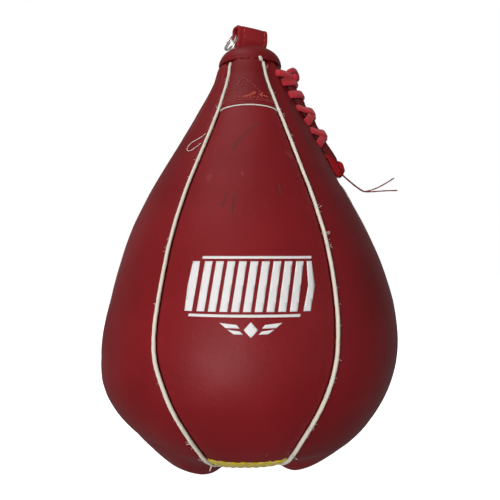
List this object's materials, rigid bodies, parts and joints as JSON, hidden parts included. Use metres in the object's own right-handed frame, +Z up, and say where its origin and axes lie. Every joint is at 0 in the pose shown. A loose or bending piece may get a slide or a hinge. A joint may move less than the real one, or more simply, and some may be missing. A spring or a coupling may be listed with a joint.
{
  "type": "speed bag",
  "caption": "Pear-shaped striking bag of sewn panels with welted seams, a laced slit over a bladder, a domed collar and a hang loop with a split ring.",
  "frame": {"origin": "middle of the hang loop's inner top face, where the swivel's hook carries the bag", "axes": "+Z up along the bag's length, -Y out of the front panel, +X to the laced slit's side"},
  "size_m": [0.1806, 0.1798, 0.2681],
  "materials": {
    "leather": "satin red synthetic leather with a fine grain",
    "piping": "ivory wrapped welt cord",
    "lace": "bright red flat lace, matt",
    "thread": "red sewing thread",
    "label": "yellow woven tape",
    "steel": "nickel-plated wire, dull",
    "lining": "cotton drill",
    "bladder": "matt butyl rubber",
    "valve": "matt rubber"
  },
  "bodies": {
    "bag": {"panel_front": "leather", "panel_front_right": "leather", "panel_back_right": "leather", "panel_back": "leather", "panel_back_left": "leather", "panel_front_left": "leather", "front_facing": "leather", "facing_edge": "piping", "collar": "leather", "crown_disc": "lining", "hang_loop": "leather", "slit_tongue": "leather", "lace": "lace", "welt_front_left": "piping", "welt_front_right": "piping", "welt_right": "piping", "welt_back_right": "piping", "welt_back_left": "piping", "welt_left": "piping", "woven_label": "label", "lining": "lining", "bottom_disc": "lining", "bladder": "bladder", "valve_body": "valve", "valve_plug": "valve", "thread_tail_long": "thread", "thread_tail_short": "thread"},
    "ring": {"split_ring": "steel"}
  },
  "joints": [
    {"name": "ring_swing", "type": "hinge", "parent": "bag", "child": "ring", "pos_m": [-0.00889, -0.00121, -0.0024], "axis": [-0.5, 0.866, 0], "range_deg": [0, 90]}
  ]
}
